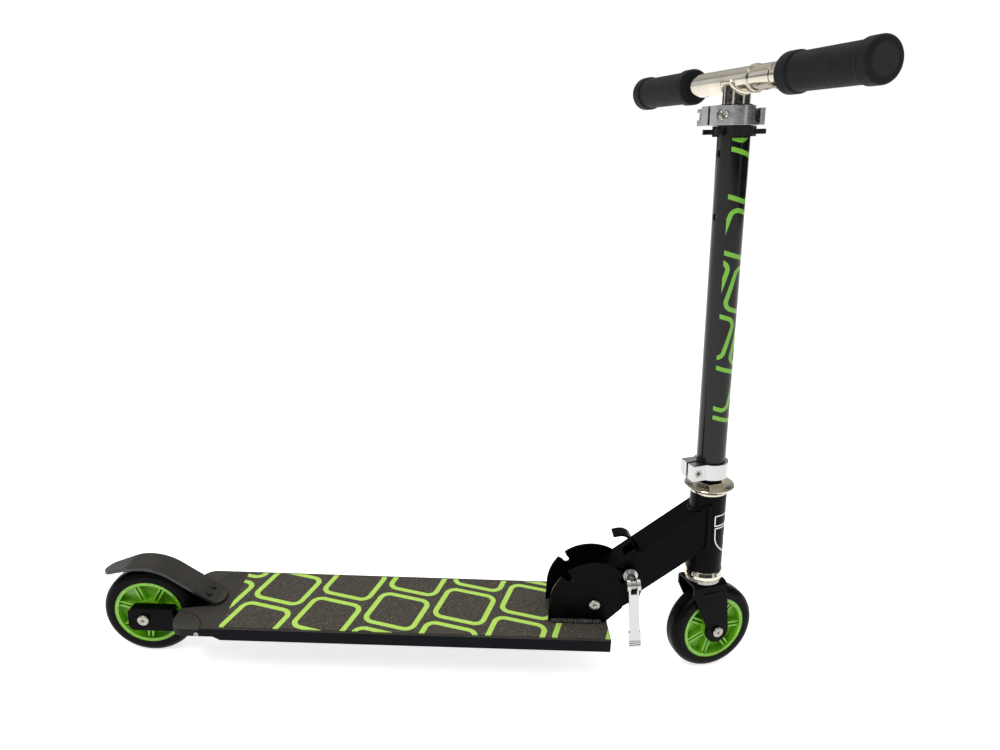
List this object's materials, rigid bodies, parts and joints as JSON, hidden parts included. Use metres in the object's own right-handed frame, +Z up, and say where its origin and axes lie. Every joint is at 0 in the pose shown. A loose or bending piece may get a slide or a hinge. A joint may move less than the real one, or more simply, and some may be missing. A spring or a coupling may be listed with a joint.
{
  "type": "folding kick scooter",
  "caption": "Two-wheel kick scooter for a child: flat deck, rear mudguard brake, folding neck with a lever lock, raisable column and pull-out handles on a T-bar.",
  "frame": {"origin": "on the floor, under the middle of the scooter's length and width", "axes": "+X forward, +Y to the rider's left, +Z up; both wheels stand on Z = 0"},
  "size_m": [0.7276, 0.345, 0.647],
  "materials": {
    "black_paint": "satin",
    "weld": "satin",
    "grit_tape": "matte",
    "dark_grey_paint": "satin",
    "dark_plastic": "matte",
    "washer_plastic": "matte",
    "tyre_rubber": "matte",
    "green_plastic": "gloss",
    "foam_grip": "matte",
    "chrome_plate": "polished",
    "clamp_alloy": "brushed",
    "bright_steel": "plain"
  },
  "bodies": {
    "frame": {"deck_box": "black_paint", "grip_tape": "grit_tape", "deck_front_plug": "dark_plastic", "rear_end_caps": "dark_plastic", "axle_bracket": "black_paint", "bracket_bolts": "bright_steel", "side_screws": "chrome_plate", "fender_mount": "black_paint", "hinge_plates": "black_paint", "hinge_welds": "weld", "pivot_bolt": "chrome_plate", "frame_nuts": "bright_steel", "rear_axle": "chrome_plate", "rear_axle_spacers": "bright_steel"},
    "rear_wheel": {"rear_tyre": "tyre_rubber", "rear_hub": "green_plastic", "rear_bearings": "bright_steel"},
    "brake": {"fender": "dark_grey_paint", "fender_screws": "bright_steel"},
    "neck": {"neck_tube": "black_paint", "head_tube": "black_paint", "pivot_bush": "bright_steel", "pivot_washers": "washer_plastic", "lower_cup": "chrome_plate", "upper_cup": "chrome_plate", "headset_bearings": "bright_steel"},
    "lock": {"lock_rod": "bright_steel", "release_hook": "black_paint", "rod_nut": "bright_steel", "lever_washer": "clamp_alloy", "lever_pin": "bright_steel"},
    "lock_lever": {"lock_lever": "clamp_alloy"},
    "steering": {"fork": "black_paint", "crown_race": "bright_steel", "headset_flange": "chrome_plate", "headset_locknut": "chrome_plate", "lower_clamp": "clamp_alloy", "lower_clamp_bolt": "chrome_plate", "outer_tube": "black_paint", "clip_collar": "dark_plastic", "upper_clamp": "clamp_alloy", "upper_clamp_bolt": "chrome_plate", "front_axle": "chrome_plate", "front_axle_nut": "bright_steel", "front_axle_spacers": "bright_steel"},
    "front_wheel": {"front_tyre": "tyre_rubber", "front_hub": "green_plastic", "front_bearings": "bright_steel"},
    "clamp_lever": {"clamp_lever": "clamp_alloy"},
    "stem": {"stem_tube": "chrome_plate", "cross_tube": "chrome_plate"},
    "stem_button": {"stem_button": "bright_steel"},
    "right_handle": {"right_handle": "chrome_plate", "right_grip": "foam_grip", "right_end_plug": "dark_plastic"},
    "right_button": {"right_button": "bright_steel"},
    "left_handle": {"left_handle": "chrome_plate", "left_grip": "foam_grip", "left_end_plug": "dark_plastic"},
    "left_button": {"left_button": "bright_steel"}
  },
  "joints": [
    {"name": "rear_wheel_spin", "type": "hinge", "parent": "frame", "child": "rear_wheel", "pos_m": [-0.31334, 0, 0.0505], "axis": [0, 1, 0], "continuous": true},
    {"name": "brake_press", "type": "hinge", "parent": "frame", "child": "brake", "pos_m": [-0.25391, 0, 0.07454], "axis": [0, -1, 0], "range_deg": [0, 3.3], "stiffness_Nm_per_rad": 20, "springref_deg": -1.15},
    {"name": "fold", "type": "hinge", "parent": "frame", "child": "neck", "pos_m": [0.17686, 0, 0.0867], "axis": [0, -1, 0], "range_deg": [0, 88]},
    {"name": "fold_lock", "type": "slide", "parent": "neck", "child": "lock", "axis": [0.6884, 0, 0.7254], "range_m": [-0.0113, 0], "stiffness_N_per_m": 150, "springref_m": -0.012},
    {"name": "lock_lever_swing", "type": "hinge", "parent": "lock", "child": "lock_lever", "pos_m": [0.21286, -0.042, 0.12464], "axis": [-0.9938, 0, -0.1115], "range_deg": [0, 150]},
    {"name": "steer", "type": "hinge", "parent": "neck", "child": "steering", "pos_m": [0.29813, 0, 0.12678], "axis": [-0.0593, 0, 0.9982], "continuous": true},
    {"name": "front_wheel_spin", "type": "hinge", "parent": "steering", "child": "front_wheel", "pos_m": [0.31415, 0.00351, 0.05055], "axis": [-0.2919, 0.9563, -0.0173], "continuous": true},
    {"name": "clamp_lever_swing", "type": "hinge", "parent": "steering", "child": "clamp_lever", "pos_m": [0.2438, 0.01126, 0.59518], "axis": [-0.0593, 0, 0.9982], "range_deg": [0, 120]},
    {"name": "stem_height", "type": "slide", "parent": "steering", "child": "stem", "axis": [-0.0593, 0, 0.9982], "range_m": [0, 0.058]},
    {"name": "stem_button_press", "type": "slide", "parent": "stem", "child": "stem_button", "axis": [-0.9546, -0.2924, -0.0567], "range_m": [0, 0.0022]},
    {"name": "right_handle_pull", "type": "slide", "parent": "stem", "child": "right_handle", "axis": [0.2919, -0.9563, 0.0173], "range_m": [0, 0.045]},
    {"name": "right_button_press", "type": "slide", "parent": "right_handle", "child": "right_button", "axis": [0.0593, 0, -0.9982], "range_m": [0, 0.002]},
    {"name": "left_handle_pull", "type": "slide", "parent": "stem", "child": "left_handle", "axis": [-0.2919, 0.9563, -0.0173], "range_m": [0, 0.045]},
    {"name": "left_button_press", "type": "slide", "parent": "left_handle", "child": "left_button", "axis": [0.0593, 0, -0.9982], "range_m": [0, 0.002]}
  ]
}
